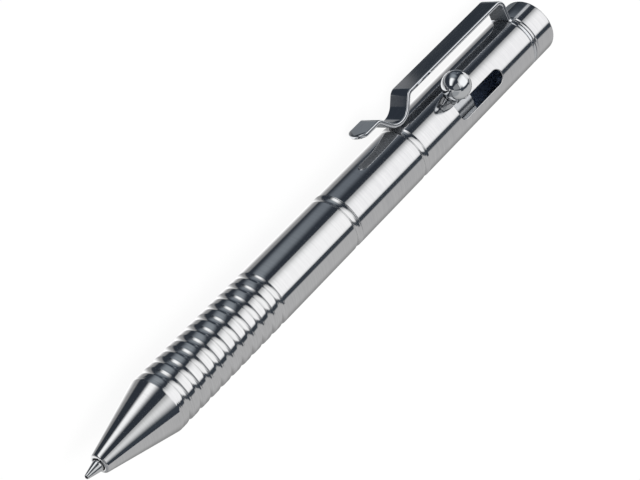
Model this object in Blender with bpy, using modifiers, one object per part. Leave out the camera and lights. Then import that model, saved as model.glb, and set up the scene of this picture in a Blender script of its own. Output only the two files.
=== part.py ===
"""Bolt action pen in polished stainless steel, lying on a table.

The pen is laid out in its own frame: stations run along local Z from the writing ball, at zero, to the
tail, and angles run round it from local X. An empty turns that frame so that the pen lies on its barrel
and on the edge of its clip, with its tip towards +X.
"""
import math

import bmesh
import bpy
from mathutils import Matrix, Vector

MM = 0.001

# Barrel
barrel_radius = 6.0 * MM
barrel_wall = 1.4 * MM
front_length = 70.0 * MM
rear_length = 60.0 * MM
seam_gap = 0.15 * MM
edge_break = 0.15 * MM

# Nose cone
point_reach = 3.5 * MM
nose_radius = 2.0 * MM
nose_round = 0.5 * MM
nose_bore_length = 4.3 * MM
cone_length = 15.7 * MM
shoulder_round = 1.2 * MM

# Grip grooves, each with its deepest line nearer to its rear edge
groove_count = 10
groove_pitch = 3.02 * MM
groove_front = 1.12 * MM
groove_rear = 0.78 * MM
groove_depth = 0.21 * MM
first_groove = 2.65 * MM

# Plain ring grooves on the barrel
band_front = 0.95 * MM
band_rear = 1.1 * MM
band_depth = 0.28 * MM
band_from_seam = 21.75 * MM

# How much of a groove side's two radii belongs to the round that leads off the land
groove_brow_share = 0.33

# Thread spigots, left plain
thread_gap = 0.25 * MM
tenon_length = 9.0 * MM
tenon_chamfer = 0.5 * MM
plug_length = 7.0 * MM

# Tail cap
cap_length = 6.4 * MM
cap_front_round = 0.55 * MM
cap_rear_round = 0.6 * MM

# Bolt slot: a channel along the pen and a leg round it to the locked place
slot_width = 3.24 * MM
slot_travel = 11.5 * MM
slot_from_rear = 10.88 * MM
channel_angle = math.radians(27.3)
lock_angle = math.radians(-12.5)

# Bolt
running_gap = 0.1 * MM
carrier_ahead = 13.4 * MM
carrier_behind = 4.65 * MM
carrier_chamfer = 0.3 * MM
socket_depth = 2.4 * MM
ball_radius = 3.0 * MM
ball_gap = 0.3 * MM
stem_screw_share = 0.79
stem_screw_length = 3.0 * MM

# Clip, one strip of sheet with a ring at its root
sheet = 0.85 * MM
clip_width = 4.8 * MM
clip_length = 48.6 * MM
clip_stand = 4.8 * MM
clip_touch = 11.0 * MM
clip_touch_gap = 0.3 * MM
clip_root_bend = 1.6 * MM
clip_arm_bend = 1.6 * MM
clip_dip_bend = 3.9 * MM
clip_lip_bend = 1.3 * MM
clip_tip_round = 1.75 * MM
clip_root_fillet = 0.8 * MM
clip_edge_round = 0.12 * MM
clip_angle = math.radians(-57.0)
arm_slope = math.radians(52.0)
lip_slope = math.radians(46.5)

# Refill
seat_gap = 0.2 * MM
writing_ball_radius = 0.35 * MM
writing_ball_gap = 0.04 * MM
point_lip = 0.1 * MM
point_radius = 1.15 * MM
point_cone = 3.1 * MM
point_length = 10.5 * MM
point_lip_angle = math.radians(-20)
ink_channel = 0.2 * MM
ink_funnel = 0.6 * MM
ink_funnel_length = 5.0 * MM
refill_radius = 2.95 * MM
refill_wall = 0.35 * MM
refill_neck_radius = 1.7 * MM
refill_neck_start = 8.6 * MM
refill_shoulder = 12.5 * MM
refill_shoulder_radius = 2.4 * MM
refill_taper = 1.5 * MM
end_plug_length = 1.7 * MM
end_spigot_length = 4.0 * MM
end_chamfer = 0.3 * MM
end_vent_radius = 0.5 * MM
end_notch_width = 0.7 * MM
end_notch_depth = 0.8 * MM
end_notch_count = 3

# Return spring, shown pressed together by the locked bolt
wire_radius = 0.2 * MM
coil_radius = 2.0 * MM
coil_turns = 4.5
chamber_gap = 0.25 * MM

# Fineness of the meshes
barrel_steps = 40
small_steps = 24
ball_steps = 32
tiny_ball_steps = 12
round_steps = 3
groove_steps = 2
leg_steps = 6
bend_steps = 6
tip_steps = 12
coil_points = 16
overrun = 0.5 * MM
weld_distance = 0.001 * MM

# Stations along the pen
z_nose = point_reach
z_seat = z_nose + nose_bore_length
z_shoulder = z_nose + cone_length
z_seam = z_nose + front_length
z_rear_start = z_seam + seam_gap
z_rear = z_seam + rear_length
z_ring = z_rear + seam_gap + sheet / 2
z_cap = z_ring + sheet / 2 + seam_gap
z_end = z_cap + cap_length
z_band = z_seam + band_from_seam
z_stem = z_rear - slot_from_rear - slot_width / 2 - slot_travel
z_carrier = z_stem - carrier_ahead
z_refill_end = z_carrier + socket_depth - seat_gap
z_tube_end = z_refill_end - end_plug_length - seat_gap

# Radii that follow from the fits
bore_radius = barrel_radius - barrel_wall
spigot_radius = bore_radius - thread_gap
carrier_radius = bore_radius - running_gap
refill_bore = refill_radius + seat_gap
nose_bore = point_radius + seat_gap
chamber_radius = coil_radius + wire_radius + chamber_gap
stem_radius = slot_width / 2 - running_gap
stem_screw_radius = stem_radius * stem_screw_share
ball_height = barrel_radius + ball_gap + ball_radius
clip_height = barrel_radius + clip_stand
clip_mid_height = clip_height - sheet / 2

# The table touches the barrel and the far edge of the clip
clip_edge_angle = clip_angle - math.atan2(clip_width / 2, clip_height)
clip_edge_reach = math.hypot(clip_height, clip_width / 2)
table_angle = clip_edge_angle - math.acos(barrel_radius / clip_edge_reach)
up_angle = table_angle + math.pi


def collection(name):
    made = bpy.data.collections.new(name)
    bpy.context.scene.collection.children.link(made)
    return made


def material(name, hex_colour, metallic, roughness):
    made = bpy.data.materials.new(name)
    made.use_nodes = True
    shader = made.node_tree.nodes["Principled BSDF"]
    channels = [int(hex_colour[i:i + 2], 16) / 255 for i in (0, 2, 4)]
    linear = [c / 12.92 if c <= 0.04045 else ((c + 0.055) / 1.055) ** 2.4 for c in channels]
    shader.inputs["Base Color"].default_value = (*linear, 1.0)
    shader.inputs["Metallic"].default_value = metallic
    shader.inputs["Roughness"].default_value = roughness
    return made


def add_object(name, mesh, home, parent, finish=None):
    thing = bpy.data.objects.new(name, mesh)
    home.objects.link(thing)
    thing.parent = parent
    if finish is not None:
        mesh.materials.append(finish)
    return thing


def arc(centre_x, centre_z, radius, start, end, steps):
    """Points on an arc in the profile plane, from one angle to another."""
    points = []
    for i in range(steps + 1):
        turn = start + (end - start) * i / steps
        points.append((centre_x + radius * math.cos(turn), centre_z + radius * math.sin(turn)))
    return points


def groove_side(reach, depth):
    """Half a groove from the land to its deepest line, as pairs of distance from the land and depth.

    A round leads off the land and meets the hollow's arc where the side is steepest.
    """
    steepest = 2 * math.atan(depth / reach)
    hollow = reach / math.sin(steepest) * (1 - groove_brow_share)
    points = [(0, 0)]
    for i in range(groove_steps + 1):
        slope = steepest * (1 - i / groove_steps)
        points.append((reach - hollow * math.sin(slope), depth - hollow * (1 - math.cos(slope))))
    return points


def ring_groove(deepest, front, rear, depth):
    """A shallow groove round the barrel, listed from its rear edge to its front edge."""
    points = [(barrel_radius - down, deepest + rear - along) for along, down in groove_side(rear, depth)]
    ahead = [(barrel_radius - down, deepest - front + along) for along, down in groove_side(front, depth)]
    return points + ahead[-2::-1]


def settle(thing, sharp=math.radians(30)):
    """Apply the modifiers, weld, and shade the round faces smooth."""
    graph = bpy.context.evaluated_depsgraph_get()
    made = bpy.data.meshes.new_from_object(thing.evaluated_get(graph))
    old = thing.data
    thing.modifiers.clear()
    thing.data = made
    bpy.data.meshes.remove(old)
    clean = bmesh.new()
    clean.from_mesh(made)
    bmesh.ops.remove_doubles(clean, verts=clean.verts, dist=weld_distance)
    bmesh.ops.dissolve_degenerate(clean, edges=clean.edges, dist=weld_distance)
    clean.to_mesh(made)
    clean.free()
    made.name = thing.name
    made.shade_smooth()
    made.set_sharp_from_angle(angle=sharp)
    return thing


def turned(name, profile, home, parent, finish, steps, closed=False):
    """A turned piece: the profile runs down the outer side, then back up the bore if there is one."""
    mesh = bpy.data.meshes.new(name)
    edges = [(i, i + 1) for i in range(len(profile) - 1)]
    if closed:
        edges.append((len(profile) - 1, 0))
    mesh.from_pydata([(x, 0, z) for x, z in profile], edges, [])
    thing = add_object(name, mesh, home, parent, finish)
    screw = thing.modifiers.new("turn", "SCREW")
    screw.axis = "Z"
    screw.angle = math.tau
    screw.steps = steps
    screw.render_steps = steps
    screw.use_merge_vertices = True
    screw.merge_threshold = weld_distance
    return thing


def cut(thing, cutter):
    boolean = thing.modifiers.new("cut", "BOOLEAN")
    boolean.operation = "DIFFERENCE"
    boolean.solver = "EXACT"
    boolean.object = cutter


def cutter_object(name, mesh, parent):
    thing = add_object(name, mesh, cutters, parent)
    thing.hide_render = True
    thing.display_type = "WIRE"
    return thing


def round_cutter(name, radius, length, parent):
    """A closed cylinder standing on its own origin along local Z."""
    tool = bmesh.new()
    bmesh.ops.create_cone(tool, cap_ends=True, segments=small_steps, radius1=radius, radius2=radius,
                          depth=length)
    bmesh.ops.translate(tool, verts=tool.verts, vec=Vector((0, 0, length / 2)))
    mesh = bpy.data.meshes.new(name)
    tool.to_mesh(mesh)
    tool.free()
    return cutter_object(name, mesh, parent)


def radial_frame(angle, station):
    """Local Z out of the pen at an angle, local X along the pen towards its tail."""
    outward = Vector((math.cos(angle), math.sin(angle), 0))
    along = Vector((0, 0, 1))
    across = outward.cross(along)
    turn = Matrix((along, across, outward)).transposed().to_4x4()
    return Matrix.Translation(Vector((0, 0, station))) @ turn


def flat_curve_mesh(name, outlines, half_thickness):
    """A flat outline, with any holes, as a welded slab in the XY plane."""
    curve = bpy.data.curves.new(name, "CURVE")
    curve.dimensions = "2D"
    curve.fill_mode = "BOTH"
    curve.extrude = half_thickness
    for points in outlines:
        spline = curve.splines.new("POLY")
        spline.points.add(len(points) - 1)
        for point, (x, y) in zip(spline.points, points):
            point.co = (x, y, 0, 1)
        spline.use_cyclic_u = True
    holder = bpy.data.objects.new(name, curve)
    bpy.context.scene.collection.objects.link(holder)
    graph = bpy.context.evaluated_depsgraph_get()
    mesh = bpy.data.meshes.new_from_object(holder.evaluated_get(graph))
    bpy.data.objects.remove(holder)
    bpy.data.curves.remove(curve)
    slab = bmesh.new()
    slab.from_mesh(mesh)
    bmesh.ops.remove_doubles(slab, verts=slab.verts, dist=weld_distance)
    bmesh.ops.recalc_face_normals(slab, faces=slab.faces)
    slab.to_mesh(mesh)
    slab.free()
    return mesh


def front_section_profile():
    """Thread spigot, smooth grip end, ten grooves, cone and nose outside; refill bore inside."""
    spigot_end = z_seam + tenon_length
    points = [(spigot_radius - tenon_chamfer, spigot_end),
              (spigot_radius, spigot_end - tenon_chamfer),
              (spigot_radius, z_seam)]
    points += ring_groove(z_seam - band_rear, band_front, band_rear, band_depth)
    for i in reversed(range(groove_count)):
        deepest = z_shoulder + first_groove + groove_pitch * i
        points += ring_groove(deepest, groove_front, groove_rear, groove_depth)
    slope = math.atan2(barrel_radius - nose_radius, cone_length)
    tangent = shoulder_round * math.tan(slope / 2)
    points += arc(barrel_radius - shoulder_round, z_shoulder + tangent, shoulder_round, 0, -slope,
                  round_steps)
    rim = nose_radius - nose_round
    points += arc(rim, z_nose + nose_round, nose_round, -slope, -math.pi / 2, round_steps)
    points += [(nose_bore, z_nose),
               (nose_bore, z_seat),
               (chamber_radius, z_seat),
               (chamber_radius, refill_shoulder - seat_gap - refill_taper / 2),
               (refill_bore, refill_shoulder - seat_gap),
               (refill_bore, spigot_end)]
    return points


def rear_barrel_profile():
    """A tube with one ring groove and broken edges."""
    points = [(barrel_radius - edge_break, z_rear),
              (barrel_radius, z_rear - edge_break)]
    points += ring_groove(z_band, band_front, band_rear, band_depth)
    points += [(barrel_radius, z_rear_start + edge_break),
               (barrel_radius - edge_break, z_rear_start),
               (bore_radius, z_rear_start),
               (bore_radius, z_rear)]
    return points


def tail_cap_profile():
    """A turned head over a plain plug that closes the barrel and holds the clip's ring."""
    plug_end = z_rear - plug_length
    points = [(0, z_end)]
    points += list(reversed(arc(barrel_radius - cap_rear_round, z_end - cap_rear_round, cap_rear_round,
                                0, math.pi / 2, round_steps)))
    points += arc(barrel_radius - cap_front_round, z_cap + cap_front_round, cap_front_round,
                  0, -math.pi / 2, round_steps)
    points += [(spigot_radius, z_cap),
               (spigot_radius, plug_end + tenon_chamfer),
               (spigot_radius - tenon_chamfer, plug_end),
               (0, plug_end)]
    return points


def carrier_profile():
    """The bolt's sliding cylinder, with a blind socket for the refill in its front end."""
    rear = z_stem + carrier_behind
    socket_end = z_carrier + socket_depth
    return [(0, rear),
            (carrier_radius - carrier_chamfer, rear),
            (carrier_radius, rear - carrier_chamfer),
            (carrier_radius, z_carrier + carrier_chamfer),
            (carrier_radius - carrier_chamfer, z_carrier),
            (refill_bore, z_carrier),
            (refill_bore, socket_end),
            (0, socket_end)]


def knob_profile():
    """Ball, stem through the slot and screw end, turned about the stem's own axis."""
    shoulder = carrier_radius + seat_gap
    join = math.asin(stem_radius / ball_radius)
    points = arc(0, ball_height, ball_radius, math.pi / 2, join - math.pi / 2, ball_steps // 2)
    points[0] = (0, points[0][1])
    points += [(stem_radius, shoulder + edge_break),
               (stem_radius - edge_break, shoulder),
               (stem_screw_radius, shoulder),
               (stem_screw_radius, shoulder - stem_screw_length),
               (0, shoulder - stem_screw_length)]
    return points


def refill_tube_profile():
    """A drawn metal tube whose front is stepped down to hold the point."""
    bore = refill_radius - refill_wall
    neck_bore = point_radius + seat_gap
    taper_end = refill_shoulder + refill_taper
    return [(refill_radius, z_tube_end),
            (refill_radius, taper_end),
            (refill_shoulder_radius, refill_shoulder),
            (refill_neck_radius, refill_shoulder),
            (refill_neck_radius, refill_neck_start),
            (neck_bore, refill_neck_start),
            (neck_bore, refill_shoulder + refill_wall),
            (bore, taper_end + refill_wall),
            (bore, z_tube_end)]


def refill_point_profile():
    """The writing point: a cone round the ball's socket, with the ink channel through it."""
    socket = writing_ball_radius + writing_ball_gap
    lip = writing_ball_radius + point_lip
    mouth = math.asin(ink_channel / socket)
    funnel_start = point_length - ink_funnel_length
    points = [(point_radius, point_length),
              (point_radius, point_cone),
              (lip, writing_ball_radius + socket * math.sin(point_lip_angle))]
    points += arc(0, writing_ball_radius, socket, point_lip_angle, math.pi / 2 - mouth, round_steps)
    points += [(ink_channel, funnel_start - ink_funnel),
               (ink_funnel, funnel_start),
               (ink_funnel, point_length)]
    return points


def end_plug_profile():
    """The refill's moulded end: a flange, a spigot in the tube and an air vent through both."""
    spigot = refill_radius - refill_wall - seat_gap
    flange_front = z_refill_end - end_plug_length
    spigot_end = flange_front - end_spigot_length
    return [(refill_radius - end_chamfer, z_refill_end),
            (refill_radius, z_refill_end - end_chamfer),
            (refill_radius, flange_front),
            (spigot, flange_front),
            (spigot, spigot_end),
            (end_vent_radius, spigot_end),
            (end_vent_radius, z_refill_end)]


def slot_cutters(parent):
    """The round-ended channel, the leg round the barrel, and the lock's round end."""
    half = slot_width / 2
    outline = arc(0, 0, half, math.pi / 2, 3 * math.pi / 2, small_steps // 2)
    outline += arc(slot_travel, 0, half, -math.pi / 2, math.pi / 2, small_steps // 2)
    channel = cutter_object("channel_cutter", flat_curve_mesh("channel_cutter", [outline], barrel_radius / 2),
                            parent)
    channel.matrix_local = radial_frame(channel_angle, z_stem) @ Matrix.Translation((0, 0, barrel_radius))

    inner = bore_radius / 2
    outer = barrel_radius + overrun
    sector = arc(0, 0, outer, lock_angle, channel_angle, leg_steps)
    sector += arc(0, 0, inner, channel_angle, lock_angle, leg_steps)
    leg = cutter_object("leg_cutter", flat_curve_mesh("leg_cutter", [sector], half), parent)
    leg.location = (0, 0, z_stem)

    lock = round_cutter("lock_cutter", half, outer, parent)
    lock.matrix_local = radial_frame(lock_angle, z_stem)
    return [channel, leg, lock]


def rounded_path(corners, radii, steps):
    """A path of straight runs joined by arcs; each inner corner has its bend radius."""
    path = [Vector(corners[0])]
    for before, corner, after, radius in zip(corners, corners[1:], corners[2:], radii):
        corner = Vector(corner)
        back = (Vector(before) - corner).normalized()
        ahead = (Vector(after) - corner).normalized()
        half = back.angle(ahead) / 2
        centre = corner + (back + ahead).normalized() * (radius / math.sin(half))
        first = corner + back * (radius / math.tan(half)) - centre
        last = corner + ahead * (radius / math.tan(half)) - centre
        sweep = first.angle_signed(last)
        for i in range(steps + 1):
            path.append(centre + Matrix.Rotation(-sweep * i / steps, 2) @ first)
    path.append(Vector(corners[-1]))
    return path


def clip_path():
    """The sheet's middle line in the plane of station and height, from the pen's axis to the clip's tip."""
    z_touch = z_ring + sheet / 2 - clip_length + clip_touch
    z_tip = z_ring + sheet / 2 - clip_length
    low = barrel_radius + clip_touch_gap + sheet / 2
    half = (math.pi - arm_slope - lip_slope) / 2
    tilt = (arm_slope - lip_slope) / 2
    dip = low + clip_dip_bend - clip_dip_bend / math.sin(half) * math.cos(tilt)
    drop = clip_mid_height - dip
    corners = [(z_ring, 0),
               (z_ring, clip_mid_height),
               (z_touch + drop / math.tan(arm_slope), clip_mid_height),
               (z_touch, dip),
               (z_touch - drop / math.tan(lip_slope), clip_mid_height),
               (z_tip, clip_mid_height)]
    return rounded_path(corners, [clip_root_bend, clip_arm_bend, clip_dip_bend, clip_lip_bend],
                        bend_steps)


def clip_blank(reach):
    """The flat blank: a ring about the origin and a strip that runs to +X with a rounded tip."""
    half = clip_width / 2
    ring_hole = spigot_radius + seat_gap
    fillet_y = half + clip_root_fillet
    fillet_x = math.sqrt((barrel_radius + clip_root_fillet) ** 2 - fillet_y ** 2)
    touch = math.atan2(fillet_y, fillet_x)
    outline = arc(0, 0, barrel_radius, touch, math.tau - touch, barrel_steps)
    outline += arc(fillet_x, -fillet_y, clip_root_fillet, math.pi - touch, math.pi / 2, round_steps)
    for i in range(tip_steps + 1):
        turn = -math.pi / 2 + math.pi * i / tip_steps
        outline.append((reach - clip_tip_round + clip_tip_round * math.cos(turn), half * math.sin(turn)))
    outline += arc(fillet_x, fillet_y, clip_root_fillet, -math.pi / 2, touch - math.pi, round_steps)[:-1]
    hole = arc(0, 0, ring_hole, 0, math.tau, barrel_steps)[:-1]
    return [outline, hole]


def bend_blank(mesh, path):
    """Cut the flat blank at every station of the path, then lay it along the path."""
    lengths = [0.0]
    for before, after in zip(path, path[1:]):
        lengths.append(lengths[-1] + (after - before).length)
    runs = [(after - before).normalized() for before, after in zip(path, path[1:])]
    normals = [Vector((-run.y, run.x)) for run in runs]
    miters = [normals[0]]
    for before, after in zip(normals, normals[1:]):
        miters.append((before + after) / (1 + before.dot(after)))
    miters.append(normals[-1])
    blank = bmesh.new()
    blank.from_mesh(mesh)
    for length in lengths[1:-1]:
        bmesh.ops.bisect_plane(blank, geom=[*blank.verts, *blank.edges, *blank.faces],
                               plane_co=(length, 0, 0), plane_no=(1, 0, 0), dist=weld_distance)
    bmesh.ops.remove_doubles(blank, verts=blank.verts, dist=weld_distance)
    for vert in blank.verts:
        i = 0
        while i < len(runs) - 1 and vert.co.x > lengths[i + 1] + weld_distance:
            i += 1
        along = vert.co.x - lengths[i]
        share = max(0.0, along / (lengths[i + 1] - lengths[i]))
        offset = miters[i].lerp(miters[i + 1], share) * vert.co.z
        place = path[i] + runs[i] * along + offset
        vert.co = Vector((place.y, vert.co.y, place.x))
    bmesh.ops.recalc_face_normals(blank, faces=blank.faces)
    blank.to_mesh(mesh)
    blank.free()


def build_clip(home, parent, finish):
    path = clip_path()
    reach = sum((after - before).length for before, after in zip(path, path[1:]))
    mesh = flat_curve_mesh("clip", clip_blank(reach), sheet / 2)
    bend_blank(mesh, path)
    thing = add_object("clip", mesh, home, parent, finish)
    thing.rotation_euler = (0, 0, clip_angle)
    bevel = thing.modifiers.new("edges", "BEVEL")
    bevel.width = clip_edge_round
    bevel.segments = 1
    bevel.limit_method = "ANGLE"
    bevel.angle_limit = math.radians(50)
    return thing


def build_spring(home, parent, finish):
    """The return spring between the nose's seat and the refill's shoulder."""
    start = z_seat + seat_gap + wire_radius
    end = refill_shoulder - seat_gap - wire_radius
    count = int(coil_turns * coil_points)
    points = []
    for i in range(count + 1):
        turn = math.tau * coil_turns * i / count
        points.append((coil_radius * math.cos(turn), coil_radius * math.sin(turn),
                       start + (end - start) * i / count))
    curve = bpy.data.curves.new("return_spring", "CURVE")
    curve.dimensions = "3D"
    curve.bevel_depth = wire_radius
    curve.bevel_resolution = 1
    curve.use_fill_caps = True
    spline = curve.splines.new("POLY")
    spline.points.add(count)
    for point, place in zip(spline.points, points):
        point.co = (*place, 1)
    spring = add_object("return_spring", curve, home, parent, finish)
    apart = coil_points // 2
    gaps = [(Vector(a) - Vector(b)).length - 2 * wire_radius
            for i, a in enumerate(points) for b in points[i + apart:]]
    print("return spring, least gap between its turns: %.2f mm" % (min(gaps) / MM))
    return spring


for old in list(bpy.data.objects):
    bpy.data.objects.remove(old, do_unlink=True)

pen = collection("bolt_action_pen")
cutters = collection("cutters")

polished_steel = material("polished_stainless_steel", "C9CBCD", 1.0, 0.12)
turned_steel = material("turned_stainless_steel", "BFC1C4", 1.0, 0.25)
spring_sheet = material("polished_spring_sheet", "C4C7CA", 1.0, 0.14)
bolt_steel = material("turned_bolt_steel", "A9ABAE", 1.0, 0.3)
ball_steel = material("mirror_ball_steel", "D0D2D4", 1.0, 0.06)
refill_steel = material("nickel_plated_refill_tube", "B9BABB", 1.0, 0.35)
point_steel = material("turned_point_steel", "C2C4C6", 1.0, 0.2)
carbide = material("tungsten_carbide_ball", "4C4E52", 1.0, 0.3)
plug_plastic = material("moulded_refill_plug", "D8D6CF", 0.0, 0.45)
spring_wire = material("plated_spring_wire", "B4B6B8", 1.0, 0.25)

# The pen's own frame, lying on the table
lying = bpy.data.objects.new("pen_lying", None)
pen.objects.link(lying)
up = Vector((math.cos(up_angle), math.sin(up_angle), 0))
along_x = Vector((0, 0, -1))
turn_to_world = Matrix((along_x, up.cross(along_x), up)).to_4x4()
ball_turn = lock_angle - up_angle
side_reach = ball_radius - math.sin(ball_turn) * ball_height
middle = Vector((z_end / 2, (side_reach - barrel_radius) / 2, barrel_radius))
lying.matrix_world = Matrix.Translation(middle) @ turn_to_world

# The bolt turns about the pen's axis at the stem's station
bolt_axis = bpy.data.objects.new("bolt_turn_axis", None)
pen.objects.link(bolt_axis)
bolt_axis.parent = lying
bolt_axis.location = (0, 0, z_stem)

front_section = turned("front_section", front_section_profile(), pen, lying, polished_steel,
                       barrel_steps, closed=True)
settle(front_section)

rear_barrel = turned("rear_barrel", rear_barrel_profile(), pen, lying, turned_steel,
                     barrel_steps, closed=True)
for tool in slot_cutters(lying):
    cut(rear_barrel, tool)
bpy.context.view_layer.update()
settle(rear_barrel)

tail_cap = turned("tail_cap", tail_cap_profile(), pen, lying, turned_steel, barrel_steps)
settle(tail_cap)

clip = build_clip(pen, lying, spring_sheet)
settle(clip, math.radians(50))

bolt_carrier = turned("bolt_carrier", [(x, z - z_stem) for x, z in carrier_profile()], pen, bolt_axis,
                      bolt_steel, barrel_steps)
stem_hole = round_cutter("stem_hole_cutter", stem_screw_radius + seat_gap, carrier_radius, bolt_axis)
hole_floor = carrier_radius - stem_screw_length
stem_hole.matrix_local = radial_frame(lock_angle, 0) @ Matrix.Translation((0, 0, hole_floor))
cut(bolt_carrier, stem_hole)
bpy.context.view_layer.update()
settle(bolt_carrier)

bolt_knob = turned("bolt_knob", knob_profile(), pen, bolt_axis, ball_steel, small_steps)
bolt_knob.matrix_local = radial_frame(lock_angle, 0)
settle(bolt_knob)

refill_tube = turned("refill_tube", refill_tube_profile(), pen, lying, refill_steel, small_steps,
                     closed=True)
settle(refill_tube)

refill_point = turned("refill_point", refill_point_profile(), pen, lying, point_steel, small_steps,
                      closed=True)
settle(refill_point)

tiny = bmesh.new()
bmesh.ops.create_uvsphere(tiny, u_segments=tiny_ball_steps, v_segments=tiny_ball_steps // 2,
                          radius=writing_ball_radius)
ball_mesh = bpy.data.meshes.new("writing_ball")
tiny.to_mesh(ball_mesh)
tiny.free()
writing_ball = add_object("writing_ball", ball_mesh, pen, lying, carbide)
writing_ball.location = (0, 0, writing_ball_radius)
settle(writing_ball)

refill_plug = turned("refill_plug", end_plug_profile(), pen, lying, plug_plastic, small_steps, closed=True)
for i in range(end_notch_count):
    block = bmesh.new()
    bmesh.ops.create_cube(block, size=1.0)
    bmesh.ops.scale(block, vec=Vector((refill_radius * 3, end_notch_width, end_notch_depth * 2)),
                    verts=block.verts)
    notch_mesh = bpy.data.meshes.new("notch_cutter_%d" % i)
    block.to_mesh(notch_mesh)
    block.free()
    notch = cutter_object("notch_cutter_%d" % i, notch_mesh, lying)
    notch.location = (0, 0, z_refill_end)
    notch.rotation_euler = (0, 0, math.pi * i / end_notch_count)
    cut(refill_plug, notch)
bpy.context.view_layer.update()
settle(refill_plug)

build_spring(pen, lying, spring_wire)
bpy.context.view_layer.update()

# The bolt's axis and the rest face, in the world's frame
for label, station in (("bolt axis", z_stem), ("tail face", z_end)):
    place = lying.matrix_world @ Vector((0, 0, station))
    print("%s at (%.6f, %.6f, %.6f) m" % (label, place.x, place.y, place.z))
bolt_turn = math.degrees(channel_angle - lock_angle)
print("bolt turn %.3f degrees about the axis towards the tail" % bolt_turn)
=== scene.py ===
"""Looks of the bolt action pen: polished stainless steel, lying on a pale table in a light tent.

Stations run along the pen from its writing ball, and angles run round it from the side that faces the
camera. Every piece is made in that frame and then laid where the CAD pen lies.
"""
from math import asin, atan, atan2, ceil, cos, degrees, floor, hypot, pi, radians, sin, sqrt, tan, tau

import bmesh
import bpy
from mathutils import Matrix, Quaternion, Vector
from mathutils.geometry import delaunay_2d_cdt


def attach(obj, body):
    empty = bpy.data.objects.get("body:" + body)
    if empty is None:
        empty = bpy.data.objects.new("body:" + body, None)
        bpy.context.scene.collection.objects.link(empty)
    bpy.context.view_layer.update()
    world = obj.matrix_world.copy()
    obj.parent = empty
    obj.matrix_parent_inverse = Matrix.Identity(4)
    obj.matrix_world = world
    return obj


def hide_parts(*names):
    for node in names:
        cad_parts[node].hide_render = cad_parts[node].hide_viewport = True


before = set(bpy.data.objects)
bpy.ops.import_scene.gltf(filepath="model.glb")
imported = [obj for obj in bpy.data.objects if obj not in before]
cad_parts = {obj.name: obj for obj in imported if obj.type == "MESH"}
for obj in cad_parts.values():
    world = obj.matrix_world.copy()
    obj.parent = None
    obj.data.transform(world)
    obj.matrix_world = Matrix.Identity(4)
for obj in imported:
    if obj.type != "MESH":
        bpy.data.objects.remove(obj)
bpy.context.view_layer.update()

MM = 0.001

# Sizes, most of them as in the CAD part
barrel_radius = 6.0 * MM
bore_radius = 4.6 * MM
spigot_radius = 4.35 * MM
edge_break = 0.15 * MM
small_round = 0.1 * MM
thread_chamfer = 0.5 * MM
# Room between a piece and the bore that it goes into
play = 0.2 * MM
nose_radius = 2.0 * MM
nose_round = 0.5 * MM
nose_bore = 1.35 * MM
nose_bore_round = 0.08 * MM
chamber_radius = 2.45 * MM
chamber_taper = 0.75 * MM
shoulder_round = 1.2 * MM
groove_count = 10
groove_pitch = 3.02 * MM
groove_front = 1.12 * MM
groove_rear = 0.78 * MM
groove_depth = 0.21 * MM
band_front = 0.95 * MM
band_rear = 1.0 * MM
band_depth = 0.32 * MM
# How much of the arc on each side of a groove rounds its edge
groove_brow_share = 0.33
groove_rear_brow = 0.18
crisp_brow = 0.08
# Two fine lines left by the tool behind the cone
hair_line_width = 0.2 * MM
hair_line_depth = 0.03 * MM
tenon_length = 9.0 * MM
plug_length = 7.0 * MM
cap_collar = 0.36 * MM
cap_collar_step = 0.02 * MM
cap_line_width = 0.36 * MM
cap_line_depth = 0.24 * MM
cap_rear_round = 0.6 * MM
slot_width = 3.24 * MM
slot_travel = 11.5 * MM
channel_angle = radians(27.3)
lock_angle = radians(-12.5)
carrier_radius = 4.5 * MM
carrier_ahead = 13.4 * MM
carrier_behind = 4.65 * MM
carrier_round = 0.3 * MM
socket_depth = 2.4 * MM
ball_radius = 3.0 * MM
ball_height = 9.3 * MM
stem_radius = 1.52 * MM
stem_screw_radius = 1.2 * MM
stem_screw_length = 3.0 * MM
sheet = 0.85 * MM
clip_width = 4.8 * MM
clip_height = 10.8 * MM
clip_length = 48.6 * MM
clip_touch = 11.0 * MM
clip_touch_gap = 0.3 * MM
# The clip's ring is held closer at each side than in the CAD part
ring_overlap = 0.08 * MM
clip_angle = radians(-57.0)
arm_slope = radians(52.0)
lip_slope = radians(46.5)
ring_bend = 1.6 * MM
arm_bend = 1.6 * MM
dip_bend = 3.9 * MM
lip_bend = 1.3 * MM
clip_tip_round = 1.75 * MM
clip_root_fillet = 0.8 * MM
edge_round = 0.28 * MM
edge_steps = 6
refill_bore = 3.15 * MM
refill_radius = 2.95 * MM
refill_wall = 0.35 * MM
refill_neck_radius = 1.7 * MM
refill_shoulder_radius = 2.4 * MM
refill_taper = 1.5 * MM
refill_round = 0.4 * MM
plug_flange = 1.7 * MM
plug_reach = 4.0 * MM
vent_radius = 0.5 * MM
point_radius = 1.15 * MM
point_length = 10.5 * MM
point_cone = 3.1 * MM
writing_ball_radius = 0.35 * MM
writing_ball_gap = 0.04 * MM
burnished_wall = 0.1 * MM
ink_bore = 0.2 * MM
ink_well = 0.6 * MM
ink_well_depth = 5.0 * MM
end_notch_width = 0.7 * MM
end_notch_depth = 0.8 * MM
wire_radius = 0.2 * MM
coil_radius = 2.0 * MM
coil_turns = 4.5

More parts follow.
